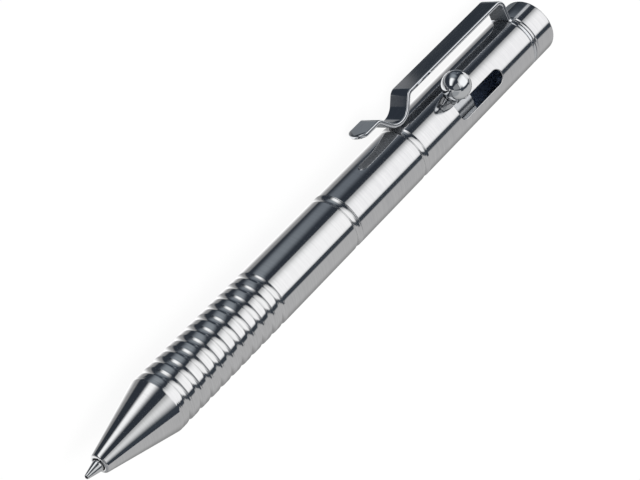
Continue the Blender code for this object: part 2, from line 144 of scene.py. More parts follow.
# Stations along the pen, from the writing ball
z_nose = 3.5 * MM
z_seat = 7.8 * MM
z_neck = 8.6 * MM
z_refill_shoulder = 12.5 * MM
z_shoulder = 19.2 * MM
z_hair_lines = (19.97 * MM, 19.64 * MM)
z_first_groove = 21.85 * MM
z_seam = 73.5 * MM
z_rear_start = 73.6 * MM
z_band = 95.12 * MM
z_tube_end = 96.4 * MM
z_refill_end = 98.3 * MM
z_stem = 109.5 * MM
z_rear = 133.5 * MM
z_ring = 134.075 * MM
z_lip_end = z_ring + sheet / 2 - clip_length
z_touch = z_lip_end + clip_touch
z_cap = 134.65 * MM
z_end = 141.05 * MM

# The pen lies with its tip towards +X, and its own X leans this far up from the table
up_angle = radians(53.31332)
up = Vector((cos(up_angle), sin(up_angle), 0))
tail_way = Vector((0, 0, -1))
tip_place = Vector((70.525, 2.7418, 6.0)) * MM
lying = Matrix.Translation(tip_place) @ Matrix((tail_way, up.cross(tail_way), up)).to_4x4()

# Fineness
lathe_steps = 192
small_steps = 96
tiny_steps = 48
groove_steps = 7
brow_steps = 4
round_steps = 5
bend_steps = 18
weld = 0.0005 * MM
sharp_angle = radians(34)


def colour(hex_colour):
    """sRGB hex to linear red, green and blue, with full cover."""
    channels = [int(hex_colour[i:i + 2], 16) / 255 for i in (0, 2, 4)]
    return (*(c / 12.92 if c <= 0.04045 else ((c + 0.055) / 1.055) ** 2.4 for c in channels), 1.0)


def add(tree, kind, links=None, **settings):
    """Add one node with its settings.

    An input gets a value, a socket, a node whose first output is meant, or a list of these.
    """
    made = tree.nodes.new(kind)
    for name, value in settings.items():
        setattr(made, name, value)
    for socket, value in (links or {}).items():
        for source in value if isinstance(value, list) else [value]:
            if isinstance(source, bpy.types.Node):
                source = source.outputs[0]
            if isinstance(source, bpy.types.NodeSocket):
                tree.links.new(source, made.inputs[socket])
            else:
                made.inputs[socket].default_value = source
    return made


# Profiles

def arc(centre_x, centre_z, radius, start, end, steps):
    points = []
    for i in range(steps + 1):
        turn = start + (end - start) * i / steps
        points.append((centre_x + radius * cos(turn), centre_z + radius * sin(turn)))
    return points


def rounded(corners, closed=False, steps=round_steps):
    """A profile from corners (x, z) or (x, z, round), with an arc at each corner that has a round."""
    points = []
    for i, corner in enumerate(corners):
        here = Vector(corner[:2])
        if len(corner) < 3 or (not closed and i in (0, len(corners) - 1)):
            points.append(tuple(here))
            continue
        back = (Vector(corners[i - 1][:2]) - here).normalized()
        ahead = (Vector(corners[(i + 1) % len(corners)][:2]) - here).normalized()
        half = back.angle(ahead) / 2
        centre = here + (back + ahead).normalized() * (corner[2] / sin(half))
        first = here + back * (corner[2] / tan(half)) - centre
        last = here + ahead * (corner[2] / tan(half)) - centre
        sweep = first.angle_signed(last)
        for k in range(steps + 1):
            points.append(tuple(centre + Matrix.Rotation(-sweep * k / steps, 2) @ first))
    return points


def groove_side(reach, depth, brow_share=groove_brow_share):
    """Half a groove, from the land to its deepest line, as pairs of distance from the land and depth.

    A round leads off the land and meets the hollow's arc where the side is steepest.
    """
    steepest = 2 * atan(depth / reach)
    radius = reach / sin(steepest)
    brow = radius * brow_share
    hollow = radius - brow
    slopes = [steepest * i / brow_steps for i in range(brow_steps)]
    points = [(brow * sin(slope), brow * (1 - cos(slope))) for slope in slopes]
    slopes = [steepest * (1 - i / groove_steps) for i in range(groove_steps + 1)]
    return points + [(reach - hollow * sin(slope), depth - hollow * (1 - cos(slope)))
                     for slope in slopes]


def ring_groove(deepest, front, rear, depth, rear_brow=groove_brow_share):
    """A shallow groove round the barrel, from its rear edge to its front edge."""
    points = [(barrel_radius - down, deepest + rear - along)
              for along, down in groove_side(rear, depth, rear_brow)]
    ahead = [(barrel_radius - down, deepest - front + along) for along, down in groove_side(front, depth)]
    return points + ahead[-2::-1]


# Geometry node trees

def new_tree(name, sockets):
    """A geometry node tree with named inputs and a geometry output."""
    tree = bpy.data.node_groups.new(name, "GeometryNodeTree")
    tree.interface.new_socket("Geometry", in_out="OUTPUT", socket_type="NodeSocketGeometry")
    for label, kind in sockets.items():
        tree.interface.new_socket(label, in_out="INPUT", socket_type="NodeSocket" + kind)
    return tree, tree.nodes.new("NodeGroupInput").outputs


def end_tree(tree, geometry, material):
    """Weld, shade smooth, make real and give the finish."""
    welded = add(tree, "GeometryNodeMergeByDistance", {"Geometry": geometry, "Distance": weld})
    smooth = add(tree, "GeometryNodeSetShadeSmooth", {"Geometry": welded, "Shade Smooth": True})
    real = add(tree, "GeometryNodeRealizeInstances", {"Geometry": smooth})
    painted = add(tree, "GeometryNodeSetMaterial", {"Geometry": real, "Material": material})
    add(tree, "NodeGroupOutput", {"Geometry": painted})
    return tree


def lathe_tree():
    """Turn a profile about Z, with a groove's profile repeated along it."""
    tree, given = new_tree("turn_on_the_lathe", {
        "Geometry": "Geometry", "Groove": "Object", "Groove Count": "Int", "First Groove": "Float",
        "Groove Pitch": "Float", "Steps": "Int", "Closed": "Bool", "Material": "Material"})
    groove = add(tree, "GeometryNodeObjectInfo", {"Object": given["Groove"]})
    first = add(tree, "ShaderNodeCombineXYZ", {"Z": given["First Groove"]})
    pitch = add(tree, "ShaderNodeCombineXYZ", {"Z": given["Groove Pitch"]})
    places = add(tree, "GeometryNodeMeshLine", {
        "Count": given["Groove Count"], "Start Location": first, "Offset": pitch})
    grooves = add(tree, "GeometryNodeInstanceOnPoints", {
        "Points": places, "Instance": groove.outputs["Geometry"]})
    cut = add(tree, "GeometryNodeRealizeInstances", {"Geometry": grooves})
    joined = add(tree, "GeometryNodeJoinGeometry", {"Geometry": [given["Geometry"], cut]})
    welded = add(tree, "GeometryNodeMergeByDistance", {"Geometry": joined, "Distance": weld})
    curve = add(tree, "GeometryNodeMeshToCurve", {"Mesh": welded})
    size = add(tree, "GeometryNodeAttributeDomainSize", {"Geometry": curve}, component="CURVE")
    count = size.outputs["Point Count"]
    rows = add(tree, "ShaderNodeMath", {0: count, 1: given["Closed"]}, operation="ADD")
    columns = add(tree, "ShaderNodeMath", {0: given["Steps"], 1: 1.0}, operation="ADD")
    grid = add(tree, "GeometryNodeMeshGrid", {"Vertices X": rows, "Vertices Y": columns})
    index = add(tree, "GeometryNodeInputIndex")
    share = add(tree, "ShaderNodeMath", {0: index, 1: columns}, operation="DIVIDE")
    row = add(tree, "ShaderNodeMath", {0: share}, operation="FLOOR")
    column = add(tree, "ShaderNodeMath", {0: index, 1: columns}, operation="MODULO")
    point = add(tree, "ShaderNodeMath", {0: row, 1: count}, operation="MODULO")
    position = add(tree, "GeometryNodeInputPosition")
    sample = add(tree, "GeometryNodeSampleIndex", {"Geometry": curve, "Value": position, "Index": point},
                 data_type="FLOAT_VECTOR")
    part = add(tree, "ShaderNodeMath", {0: column, 1: given["Steps"]}, operation="DIVIDE")
    angle = add(tree, "ShaderNodeMath", {0: part, 1: tau}, operation="MULTIPLY")
    turned = add(tree, "ShaderNodeVectorRotate", {"Vector": sample, "Angle": angle}, rotation_type="Z_AXIS")
    placed = add(tree, "GeometryNodeSetPosition", {"Geometry": grid, "Position": turned})
    return end_tree(tree, placed, given["Material"])


def coil_tree():
    """Wind a wire into a spring about Z."""
    tree, given = new_tree("wind_a_spring", {
        "Coil Radius": "Float", "Wire Radius": "Float", "Turns": "Float", "Steps per Turn": "Float",
        "First Station": "Float", "Last Station": "Float", "Material": "Material"})
    steps = add(tree, "ShaderNodeMath", {0: given["Turns"], 1: given["Steps per Turn"]},
                operation="MULTIPLY")
    count = add(tree, "ShaderNodeMath", {0: steps, 1: 1.0}, operation="ADD")
    line = add(tree, "GeometryNodeMeshLine", {"Count": count})
    index = add(tree, "GeometryNodeInputIndex")
    share = add(tree, "ShaderNodeMath", {0: index, 1: steps}, operation="DIVIDE")
    turns = add(tree, "ShaderNodeMath", {0: share, 1: given["Turns"]}, operation="MULTIPLY")
    angle = add(tree, "ShaderNodeMath", {0: turns, 1: tau}, operation="MULTIPLY")
    height = add(tree, "ShaderNodeMapRange", {
        "Value": share, "To Min": given["First Station"], "To Max": given["Last Station"]})
    start = add(tree, "ShaderNodeCombineXYZ", {"X": given["Coil Radius"], "Z": height})
    wound = add(tree, "ShaderNodeVectorRotate", {"Vector": start, "Angle": angle}, rotation_type="Z_AXIS")
    placed = add(tree, "GeometryNodeSetPosition", {"Geometry": line, "Position": wound})
    curve = add(tree, "GeometryNodeMeshToCurve", {"Mesh": placed})
    section = add(tree, "GeometryNodeCurvePrimitiveCircle", {
        "Resolution": 16, "Radius": given["Wire Radius"]})
    wire = add(tree, "GeometryNodeCurveToMesh", {
        "Curve": curve, "Profile Curve": section, "Fill Caps": True})
    return end_tree(tree, wire, given["Material"])


def bend_tree():
    """Lay a flat blank along a path: its X runs along the path and its Z is the sheet's thickness."""
    tree, given = new_tree("bend_the_sheet", {
        "Geometry": "Geometry", "Path": "Object", "Path Start": "Float", "Material": "Material"})
    path = add(tree, "GeometryNodeObjectInfo", {"Object": given["Path"]})
    curve = add(tree, "GeometryNodeMeshToCurve", {"Mesh": path.outputs["Geometry"]})
    position = add(tree, "GeometryNodeInputPosition")
    flat = add(tree, "ShaderNodeSeparateXYZ", {0: position})
    length = add(tree, "ShaderNodeMath", {0: flat.outputs["X"], 1: given["Path Start"]}, operation="ADD")
    sample = add(tree, "GeometryNodeSampleCurve", {
        "Curves": curve, "Length": length}, mode="LENGTH", data_type="FLOAT")
    normal = add(tree, "ShaderNodeVectorMath", {0: (0, 1, 0), 1: sample.outputs["Tangent"]},
                 operation="CROSS_PRODUCT")
    even = add(tree, "ShaderNodeVectorMath", {0: normal}, operation="NORMALIZE")
    thick = add(tree, "ShaderNodeVectorMath", {0: even, "Scale": flat.outputs["Z"]}, operation="SCALE")
    wide = add(tree, "ShaderNodeCombineXYZ", {"Y": flat.outputs["Y"]})
    lifted = add(tree, "ShaderNodeVectorMath", {0: sample.outputs["Position"], 1: thick}, operation="ADD")
    laid = add(tree, "ShaderNodeVectorMath", {0: lifted, 1: wide}, operation="ADD")
    placed = add(tree, "GeometryNodeSetPosition", {"Geometry": given["Geometry"], "Position": laid})
    return end_tree(tree, placed, given["Material"])


# Making pieces

def temporary(name, data):
    thing = bpy.data.objects.new(name, data)
    bpy.context.scene.collection.objects.link(thing)
    return thing


def polyline(name, points, closed=False):
    """A profile or path as a mesh of edges in the XZ plane."""
    mesh = bpy.data.meshes.new(name)
    last = len(points) if closed else len(points) - 1
    mesh.from_pydata([(x, 0, z) for x, z in points], [(i, (i + 1) % len(points)) for i in range(last)], [])
    return temporary(name, mesh)


def evaluated_mesh(thing):
    """The mesh that the object's modifiers make."""
    bpy.context.view_layer.update()
    graph = bpy.context.evaluated_depsgraph_get()
    return bpy.data.meshes.new_from_object(thing.evaluated_get(graph), depsgraph=graph)


def run_tree(name, thing, tree, values):
    """Run a tree on an object, with its inputs set by their identifiers, and keep the mesh."""
    modifier = thing.modifiers.new(name, "NODES")
    modifier.node_group = tree
    for item in tree.interface.items_tree:
        if item.in_out == "INPUT" and item.name in values:
            modifier[item.identifier] = values[item.name]
    mesh = evaluated_mesh(thing)
    bpy.data.objects.remove(thing)
    mesh.name = name
    mesh.materials.clear()
    mesh.materials.append(values["Material"])
    for face in mesh.polygons:
        face.material_index = 0
    return mesh


def tidy_mesh(mesh):
    """Weld, drop slivers and turn every face outwards."""
    work = bmesh.new()
    work.from_mesh(mesh)
    bmesh.ops.remove_doubles(work, verts=work.verts, dist=weld)
    bmesh.ops.dissolve_degenerate(work, edges=work.edges, dist=weld)
    bmesh.ops.recalc_face_normals(work, faces=work.faces)
    work.to_mesh(mesh)
    work.free()


def finish_piece(name, mesh, node, body="pen_body", place=lying, round_side=None):
    """Lay the piece where the CAD has it, with flats that shade flat, and join it to its body."""
    tidy_mesh(mesh)
    mesh.shade_smooth()
    mesh.set_sharp_from_angle(angle=sharp_angle)
    thing = temporary(name, mesh)
    even = thing.modifiers.new("even_shading", "WEIGHTED_NORMAL")
    even.keep_sharp = True
    shaded = evaluated_mesh(thing)
    thing.modifiers.clear()
    thing.data = shaded
    shaded.name = name
    if round_side:
        round_normals(shaded, round_side)
    shaded.transform(place)
    bpy.data.meshes.remove(mesh)
    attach(thing, body)
    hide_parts(node)


def turned(name, corners, material, closed=False, steps=lathe_steps, **groove):
    """A mesh turned about local Z, from the corners of its profile."""
    line = polyline(name, rounded(corners, closed), closed and not groove)
    return run_tree(name, line, lathe, {"Steps": steps, "Closed": closed, "Material": material, **groove})


def cut(mesh, tools):
    """Cut closed meshes out of a mesh."""
    thing = temporary(mesh.name, mesh)
    cutters = [temporary("cutter", tool) for tool in tools]
    for cutter in cutters:
        boolean = thing.modifiers.new("cut", "BOOLEAN")
        boolean.operation = "DIFFERENCE"
        boolean.solver = "EXACT"
        boolean.object = cutter
    made = evaluated_mesh(thing)
    for done in [thing, *cutters]:
        bpy.data.objects.remove(done)
    return made


def radial_frame(angle, station):
    """Local Z out of the pen at an angle, local X along the pen towards its tail."""
    outward = Vector((cos(angle), sin(angle), 0))
    along = Vector((0, 0, 1))
    turn = Matrix((along, outward.cross(along), outward)).transposed().to_4x4()
    return Matrix.Translation(Vector((0, 0, station))) @ turn


# Finishes

def in_grooves(tree, place):
    """One in the grip's grooves and nought on the lands and the cone."""
    shallow, deep = 0.01 * MM, 0.1 * MM
    axis = add(tree, "ShaderNodeVectorMath", {0: place, 1: tuple(tip_place)}, operation="SUBTRACT")
    across = add(tree, "ShaderNodeVectorMath", {0: axis, 1: (0, 1, 1)}, operation="MULTIPLY")
    radius = add(tree, "ShaderNodeVectorMath", {0: across}, operation="LENGTH")
    along = add(tree, "ShaderNodeSeparateXYZ", {0: axis})
    low, behind = [add(tree, "ShaderNodeMapRange", {
        "Value": value, "From Min": first, "From Max": last, "To Min": 1.0, "To Max": 0.0},
        interpolation_type="SMOOTHSTEP") for value, first, last in (
            (radius.outputs["Value"], barrel_radius - deep, barrel_radius - shallow),
            (along.outputs["X"], -z_shoulder - MM, -z_shoulder))]
    return add(tree, "ShaderNodeMath", {0: low, 1: behind}, operation="MULTIPLY")


def worked_metal(name, light, dark, rough, spacing, relief, smudge=5, dull_grooves=0.0, metallic=1.0):
    """Metal with fine tool lines, or, at a metallic of nought, a matt moulding or a matt face painted with
    shade or reflection.

    spacing is the lines' size along X, Y and Z, relief their depth and smudge the soft smudges' size, all
    in mm. The roughness runs between the two values of rough in the smudges, and the colour between dark
    and light across the lines. Where the polishing wheel misses the grip's grooves, dull_grooves is added
    to the roughness.
    """
    made = bpy.data.materials.new(name)
    made.use_nodes = True
    tree = made.node_tree
    shader = tree.nodes["Principled BSDF"]
    shader.inputs["Metallic"].default_value = metallic
    place = add(tree, "ShaderNodeTexCoord").outputs["Object"]
    scale = tuple(1 / (size * MM) for size in spacing)
    stretched = add(tree, "ShaderNodeMapping", {"Vector": place, "Scale": scale})
    lines = add(tree, "ShaderNodeTexNoise", {
        "Vector": stretched, "Scale": 1.0, "Detail": 4.0, "Roughness": 0.6})
    cloud = add(tree, "ShaderNodeTexNoise", {
        "Vector": place, "Scale": 1 / (smudge * MM), "Detail": 3.0, "Roughness": 0.55})
    tone = add(tree, "ShaderNodeMapRange", {"Value": lines, "From Min": 0.3, "From Max": 0.7})
    tint = add(tree, "ShaderNodeMix", {0: tone, 6: colour(dark), 7: colour(light)}, data_type="RGBA")
    both = add(tree, "ShaderNodeMath", {0: lines, 1: cloud}, operation="ADD")
    dull = add(tree, "ShaderNodeMapRange", {
        "Value": both, "From Min": 0.75, "From Max": 1.25, "To Min": rough[0], "To Max": rough[1]})
    bump = add(tree, "ShaderNodeBump", {"Strength": 1.0, "Distance": relief * MM, "Height": lines})
    if dull_grooves:
        dull = add(tree, "ShaderNodeMath", {
            0: in_grooves(tree, place), 1: dull_grooves, 2: dull}, operation="MULTIPLY_ADD")
    tree.links.new(tint.outputs[2], shader.inputs["Base Color"])
    tree.links.new(dull.outputs[0], shader.inputs["Roughness"])
    tree.links.new(bump.outputs[0], shader.inputs["Normal"])
    return made


# Stainless bar, turned and polished on the lathe: clear reflections crossed by hair-thin rings.
# The rings are drawn at 0.25 mm, several times coarser than real tool lines, so that they show.
polished_bar = worked_metal("polished_turned_stainless", "DCDCDD", "D2D2D3", (0.05, 0.1),
                            (0.25, 9, 9), 0.00015, dull_grooves=0.06)
# The same bar on the rear barrel and cap, buffed a little less: the streaks in its light are longer.
buffed_bar = worked_metal("buffed_turned_stainless", "DADADB", "CECED0", (0.06, 0.11), (0.3, 7, 7), 0.00018)
# Stainless spring strip, stamped, bent and tumbled: mirror bright with a faint grain along the strip.
spring_strip = worked_metal("tumbled_spring_strip", "D9DBDE", "CBCDD1", (0.05, 0.1),
                            (8, 0.35, 0.35), 0.0003)
# Turned steel rod, left as it came off the lathe: greyer and duller, ringed by the tool.
turned_rod = worked_metal("fine_turned_rod", "BFC1C4", "A9ABAF", (0.12, 0.2), (0.2, 6, 6), 0.0008)
# Hardened bearing-style ball, lapped to a mirror: the sharpest reflections on the pen.
lapped_ball = worked_metal("lapped_ball_steel", "DEE0E2", "D8DADC", (0.025, 0.05), (2, 2, 2), 0.00005)
# Reamed bore behind the slot, not a mirror: a matt bluish grey that stands in for the steel's dim bluish
# reflections there, a painted reflection; the slot's shade keeps it dark.
bore_painted_reflection = worked_metal("oiled_reamed_bore", "8393AE", "697992", (0.45, 0.6),
                           (0.4, 5, 5), 0.003, metallic=0.0)
# The strip's inner face, which looks at the barrel: dark grey and matt with a faint grain along the strip, a
# painted shade for the dimness under the clip.
inner_face_painted_shade = worked_metal("rolled_inner_face", "555B62", "363B41", (0.35, 0.45),
                           (8, 0.35, 0.35), 0.0005, metallic=0.0)
# The same face at the lip, painted lighter: a weaker painted shade where the lip stands off the barrel.
lip_face_lighter_painted_shade = worked_metal("rubbed_inner_face", "888C90", "6C7074", (0.35, 0.45),
                           (8, 0.35, 0.35), 0.0005, metallic=0.0)
# Milled walls of the slot: cutter marks across a dull bright cut.
milled_wall = worked_metal("milled_slot_wall", "C6C8CA", "A4A7AA", (0.14, 0.24), (0.3, 3, 3), 0.0012)
# Drawn refill tube, nickel plated: warm grey, softly lined along its length.
nickel_tube = worked_metal("nickel_plated_tube", "C4C2BD", "B2B0AA", (0.22, 0.32), (6, 0.3, 0.3), 0.0006)
# Writing point turned from free-cutting steel: bright, finely ringed.
turned_point = worked_metal("turned_point_steel", "E0E1E2", "CCCED0", (0.1, 0.18), (0.15, 3, 3), 0.0005)
# Ground tungsten carbide: dark grey and satin.
ground_carbide = worked_metal("ground_carbide", "5A5C60", "484A4E", (0.22, 0.3),
                              (0.1, 0.1, 0.1), 0.0004, smudge=0.3)
# Drawn and plated wire: bright along its curve.
plated_wire = worked_metal("plated_spring_wire", "C8CACC", "B4B6B9", (0.16, 0.26), (1, 0.2, 0.2), 0.0004)
# Moulded acetal: off-white, with a very fine mould texture that takes the shine off.
moulded_plug = worked_metal("moulded_acetal", "DDDBD4", "D6D4CC", (0.4, 0.5),
                            (0.3, 0.3, 0.3), 0.002, metallic=0.0)

lathe = lathe_tree()
spring_winder = coil_tree()
sheet_bender = bend_tree()


# Front section

def front_section():
    """Nose cone, ten grip grooves, plain grip end and thread spigot; the refill's bore inside."""
    spigot_end = z_seam + tenon_length
    half_land = (groove_pitch - groove_front - groove_rear) / 2
    first_land = z_first_groove - groove_front - half_land
    last_land = first_land + groove_pitch * groove_count
    half_line = hair_line_width / 2
    tool_lines = [(barrel_radius - down, z + ahead) for z in z_hair_lines
                  for down, ahead in ((0, half_line), (hair_line_depth, 0), (0, -half_line))]
    corners = [
        (barrel_radius, first_land),
        *tool_lines,
        (barrel_radius, z_shoulder, shoulder_round),
        (nose_radius, z_nose, nose_round),
        (nose_bore, z_nose, nose_bore_round),
        (nose_bore, z_seat),
        (chamber_radius, z_seat),
        (chamber_radius, z_refill_shoulder - play - chamber_taper),
        (refill_bore, z_refill_shoulder - play),
        (refill_bore, spigot_end),
        (spigot_radius - thread_chamfer, spigot_end, small_round),
        (spigot_radius, spigot_end - thread_chamfer, small_round),
        (spigot_radius, z_seam),
        *ring_groove(z_seam - band_rear, band_front, band_rear, band_depth, crisp_brow),
        (barrel_radius, last_land)]
    groove = polyline("grip_groove", [
        (barrel_radius, groove_rear + half_land),
        *ring_groove(0, groove_front, groove_rear, groove_depth, groove_rear_brow),
        (barrel_radius, -groove_front - half_land)])
    mesh = turned("grip_and_nose", corners, polished_bar, closed=True, Groove=groove, **{
        "Groove Count": groove_count, "First Groove": z_first_groove, "Groove Pitch": groove_pitch})
    bpy.data.objects.remove(groove)
    finish_piece("grip_and_nose", mesh, "front_section")


# Slotted barrel

slot_rim = 0.21 * MM
tongue_round = 0.25 * MM
window_rows = 34
window_margin = 1.1 * MM
slot_front = z_stem - slot_width / 2 - window_margin
slot_back = z_stem + slot_travel + slot_width / 2 + window_margin
window_stations = [slot_front + (slot_back - slot_front) * k / window_rows for k in range(window_rows + 1)]


def slot_outline(radius, spread):
    """The slot's outline at a radius, spread wider by so much: pairs of angle and station."""
    half = slot_width / 2 + spread
    corner = slot_width / 2 + tongue_round
    full, inner, leg, front, tongue = 28, 24, 10, 18, 8
    runs = [arc(0, z_stem, half, -pi / 2, 0, full // 2),
            [(half, z_stem + slot_travel * k / full) for k in range(1, full)],
            arc(0, z_stem + slot_travel, half, 0, pi, full),
            [(-half, z_stem + slot_travel + (corner - slot_travel) * k / inner) for k in range(1, inner)],
            arc(-corner, z_stem + corner, tongue_round - spread, 0, -pi / 2, tongue)]
    outline = [(channel_angle + asin(u / radius), z) for run in runs for u, z in run]
    leg_start = outline[-1][0]
    outline += [(leg_start + (lock_angle - leg_start) * k / leg, z_stem + half) for k in range(1, leg)]
    lock = arc(0, z_stem, half, pi / 2, 3 * pi / 2, full)
    outline += [(lock_angle + asin(u / radius), z) for u, z in lock]
    outline += [(lock_angle + (channel_angle - lock_angle) * k / front, z_stem - half)
                for k in range(1, front)]
    return outline


def inside(outline, angle, station):
    """Whether a place lies inside an outline."""
    within = False
    for (a, p), (b, q) in zip(outline, outline[1:] + outline[:1]):
        if (p > station) != (q > station) and angle < a + (station - p) / (q - p) * (b - a):
            within = not within
    return within


def on_barrel(radius, angle, station):
    return Vector((radius * cos(angle), radius * sin(angle), station))


def window_patch(radius, outline, angles):
    """The part of a cylinder round the slot, as points and triangles with the slot left open."""
    flat = [Vector((a * radius, z)) / MM for a, z in outline]
    places = list(outline)
    keep_off = 0.13
    for a in angles:
        for z in window_stations:
            edge = a in (angles[0], angles[-1]) or z in (window_stations[0], window_stations[-1])
            here = Vector((a * radius, z)) / MM
            if edge or (not inside(outline, a, z) and min((here - p).length for p in flat) > keep_off):
                places.append((a, z))
    points = [Vector((a * radius, z)) / MM for a, z in places]
    ring = [(i, (i + 1) % len(outline)) for i in range(len(outline))]
    made, _, triangles, _, _, _ = delaunay_2d_cdt(points, ring, [], 0, 1e-5)
    kept = []
    for triangle in triangles:
        centre = sum((made[i] for i in triangle), Vector((0, 0))) / 3
        if not inside(outline, centre.x * MM / radius, centre.y * MM):
            kept.append(triangle)
    return [on_barrel(radius, p.x * MM / radius, p.y * MM) for p in made], kept


def slot_mesh(mesh):
    """Open the bolt's slot in the turned barrel, with a rounded rim and milled walls."""
    step = tau / lathe_steps
    near, spare, wall_rows = 0.01 * MM, radians(5), 4
    reach = asin(slot_width / 2 / bore_radius) + spare
    first = floor((lock_angle - reach) / step)
    last = ceil((channel_angle + reach) / step)
    angles = [step * i for i in range(first, last + 1)]
    work = bmesh.new()
    work.from_mesh(mesh)
    gone = []
    for face in work.faces:
        centre = face.calc_center_median()
        turn = atan2(centre.y, centre.x)
        distance = hypot(centre.x, centre.y)
        on_side = distance > barrel_radius - near or distance < bore_radius + near
        if on_side and angles[0] < turn < angles[-1] and slot_front < centre.z < slot_back:
            gone.append(face)
    bmesh.ops.delete(work, geom=gone, context="FACES")

    rows = []
    for k in range(round_steps + 1):
        turn = pi / 2 * k / round_steps
        radius = barrel_radius - slot_rim * (1 - cos(turn))
        rows.append((radius, slot_outline(radius, slot_rim * (1 - sin(turn)))))
    for k in range(1, wall_rows + 1):
        radius = barrel_radius - slot_rim + (bore_radius - barrel_radius + slot_rim) * k / wall_rows
        rows.append((radius, slot_outline(radius, 0.0)))
    rings = [[work.verts.new(on_barrel(radius, a, z)) for a, z in outline] for radius, outline in rows]
    for k, (upper, lower) in enumerate(zip(rings, rings[1:])):
        for i in range(len(upper)):
            j = (i + 1) % len(upper)
            face = work.faces.new((upper[i], upper[j], lower[j], lower[i]))
            face.material_index = 2 if k >= round_steps else 0
    for radius, outline in (rows[0], rows[-1]):
        points, triangles = window_patch(radius, outline, angles)
        verts = [work.verts.new(point) for point in points]
        for triangle in triangles:
            work.faces.new([verts[i] for i in triangle])
    bmesh.ops.remove_doubles(work, verts=work.verts, dist=weld)
    # Faces on the bore take the matt finish with the painted reflection
    for face in work.faces:
        centre = face.calc_center_median()
        if hypot(centre.x, centre.y) < bore_radius + 2 * near:
            face.material_index = 1
    work.to_mesh(mesh)
    work.free()


def round_normals(mesh, radius):
    """Give the plain turned surface exact round shading, right up to the slot's rim."""
    face_sag, corner_sag = 0.012 * MM, 0.001 * MM
    normals = [corner.vector.copy() for corner in mesh.corner_normals]
    for face in mesh.polygons:
        centre = face.center
        if hypot(centre.x, centre.y) < radius - face_sag:
            continue
        for i in face.loop_indices:
            place = mesh.vertices[mesh.loops[i].vertex_index].co
            if hypot(place.x, place.y) > radius - corner_sag:
                normals[i] = Vector((place.x, place.y, 0)).normalized()
    mesh.normals_split_custom_set(normals)


def rear_barrel():
    corners = [(barrel_radius, z_rear + ring_overlap, edge_break)]
    corners += [(barrel_radius, z) for z in reversed(window_stations)]
    corners += ring_groove(z_band, band_front, band_rear, band_depth, crisp_brow)
    corners += [(barrel_radius, z_rear_start, edge_break), (bore_radius, z_rear_start, small_round)]
    corners += [(bore_radius, z) for z in window_stations]
    corners += [(bore_radius, z_rear + ring_overlap, small_round)]
    mesh = turned("slotted_barrel", corners, buffed_bar, closed=True)
    # The bore's matt finish with its painted reflection, then the slot's milled walls
    mesh.materials.append(bore_painted_reflection)
    mesh.materials.append(milled_wall)
    slot_mesh(mesh)
    finish_piece("slotted_barrel", mesh, "rear_barrel", round_side=barrel_radius)


# Cap, bolt and refill

def tail_cap():
    """A turned head over the plug that closes the barrel and holds the clip's ring."""
    plug_end = z_rear - plug_length
    line_front = z_cap + cap_collar
    collar_radius = barrel_radius - cap_collar_step
    line_round, front_round = 0.04 * MM, 0.06 * MM
    mesh = turned("turned_cap", [
        (0, z_end),
        (barrel_radius, z_end, cap_rear_round),
        (barrel_radius, line_front + cap_line_width, small_round),
        (barrel_radius - cap_line_depth, line_front + cap_line_width / 2, line_round),
        (collar_radius, line_front, small_round),
        (collar_radius, z_cap - ring_overlap, front_round),
        (spigot_radius, z_cap - ring_overlap),
        (spigot_radius, plug_end + thread_chamfer, small_round),
        (spigot_radius - thread_chamfer, plug_end, small_round),
        (0, plug_end)], buffed_bar)
    finish_piece("turned_cap", mesh, "tail_cap")


def bolt_carrier():
    """The bolt's sliding cylinder, with the refill's socket and the stem's hole."""
    front, rear = z_stem - carrier_ahead, z_stem + carrier_behind
    body = turned("sliding_carrier", [
        (0, rear),
        (carrier_radius, rear, carrier_round),
        (carrier_radius, front, carrier_round),
        (refill_bore, front, edge_break),
        (refill_bore, front + socket_depth),
        (0, front + socket_depth)], turned_rod)
    hole_radius = stem_screw_radius + play
    top, bottom = carrier_radius + MM, carrier_radius - stem_screw_length
    hole = turned("stem_hole", [(0, top), (hole_radius, top), (hole_radius, bottom), (0, bottom)],
                  turned_rod, steps=tiny_steps)
    tidy_mesh(hole)
    hole.transform(radial_frame(lock_angle, z_stem))
    tidy_mesh(body)
    finish_piece("sliding_carrier", cut(body, [hole]), "bolt_carrier", body="bolt",
                 round_side=carrier_radius)


def bolt_knob():
    """Ball, stem through the slot and screw end, turned about the stem's own axis."""
    shoulder = carrier_radius + play
    overlap = 0.02 * MM
    join = asin(stem_radius / ball_radius)
    ball = arc(0, ball_height, ball_radius, pi / 2, join - pi / 2, steps=60)
    ball[0] = (0, ball[0][1])
    mesh = turned("ball_bolt", ball + [
        (stem_radius, ball_height - ball_radius * cos(join) - overlap),
        (stem_radius, shoulder, edge_break),
        (stem_screw_radius, shoulder),
        (stem_screw_radius, shoulder - stem_screw_length),
        (0, shoulder - stem_screw_length)], lapped_ball, steps=small_steps)
    finish_piece("ball_bolt", mesh, "bolt_knob", body="bolt",
                 place=lying @ radial_frame(lock_angle, z_stem))


def refill_tube():
    bore = refill_radius - refill_wall
    neck_bore = point_radius + play
    taper_end = z_refill_shoulder + refill_taper
    mesh = turned("metal_refill", [
        (refill_radius, z_tube_end, small_round),
        (refill_radius, taper_end, refill_round),
        (refill_shoulder_radius, z_refill_shoulder, edge_break),
        (refill_neck_radius, z_refill_shoulder, small_round),
        (refill_neck_radius, z_neck, small_round),
        (neck_bore, z_neck),
        (neck_bore, z_refill_shoulder + refill_wall),
        (bore, taper_end + refill_wall),
        (bore, z_tube_end)], nickel_tube, closed=True, steps=small_steps)
    finish_piece("metal_refill", mesh, "refill_tube")


